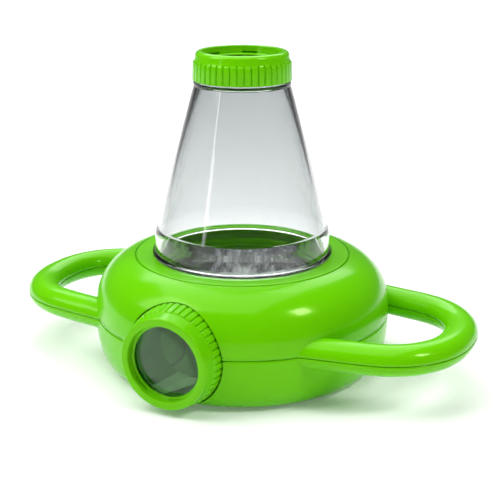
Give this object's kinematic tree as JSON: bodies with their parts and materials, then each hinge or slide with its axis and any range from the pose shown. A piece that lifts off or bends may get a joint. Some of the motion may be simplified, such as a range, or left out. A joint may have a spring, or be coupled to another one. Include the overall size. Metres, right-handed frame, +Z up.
{
  "type": "bug viewer",
  "caption": "Children's two-way bug viewer: round base with loop handles, clear conical chamber, screw-on magnifier cap and a side eyepiece that looks by a mirror.",
  "frame": {"origin": "centre of the base's flat underside, on the chamber's axis", "axes": "+Z up along the chamber's axis, X through the two handles, -Y out of the eyepiece"},
  "size_m": [0.2514, 0.1623, 0.164],
  "materials": {
    "green_abs": "glossy moulded ABS, lime green",
    "clear_styrene": "clear moulded polystyrene",
    "clear_acrylic": "clear polished acrylic",
    "mirror_film": "silvered plastic film, slightly crinkled",
    "foam_tape": "white closed-cell foam",
    "dark_plastic": "matt dark green plastic",
    "zinc_steel": "bright zinc plate"
  },
  "bodies": {
    "base": {"upper_shell": "green_abs", "lower_shell": "green_abs", "specimen_floor": "clear_styrene", "eyepiece_tube": "green_abs", "mirror": "mirror_film", "mirror_tape": "foam_tape", "mirror_bracket": "dark_plastic", "shell_screw_1": "zinc_steel", "shell_screw_2": "zinc_steel", "shell_screw_3": "zinc_steel", "shell_screw_4": "zinc_steel", "handle_screw_right": "zinc_steel", "handle_screw_left": "zinc_steel", "bracket_screw_right": "zinc_steel", "bracket_screw_left": "zinc_steel"},
    "chamber": {"chamber": "clear_styrene"},
    "top_magnifier": {"top_lens": "clear_acrylic", "top_lens_retainer": "green_abs"},
    "top_cap": {"top_cap": "green_abs"},
    "eyepiece": {"eyepiece_lens": "clear_acrylic", "eyepiece_lens_retainer": "green_abs"},
    "eyepiece_cap": {"eyepiece_cap": "green_abs"}
  },
  "joints": [
    {"name": "chamber_lift", "type": "slide", "parent": "base", "child": "chamber", "axis": [0, 0, 1], "range_m": [0, 0.04]},
    {"name": "top_cap_rise", "type": "slide", "parent": "chamber", "child": "top_magnifier", "axis": [0, 0, 1], "range_m": [0, 0.0046]},
    {"name": "top_cap_twist", "type": "hinge", "parent": "top_magnifier", "child": "top_cap", "pos_m": [0, 0, 0.1565], "axis": [0, 0, 1], "range_deg": [0, 540]},
    {"name": "eyepiece_draw", "type": "slide", "parent": "base", "child": "eyepiece", "axis": [0, -1, 0], "range_m": [0, 0.0046]},
    {"name": "eyepiece_twist", "type": "hinge", "parent": "eyepiece", "child": "eyepiece_cap", "pos_m": [0, -0.0762, 0.0266], "axis": [0, -1, 0], "range_deg": [0, 540]}
  ],
  "couplings": [
    {"joint": "top_cap_rise", "follows": "top_cap_twist", "m_per_rad": 0.00047746},
    {"joint": "eyepiece_draw", "follows": "eyepiece_twist", "m_per_rad": 0.00047746}
  ]
}
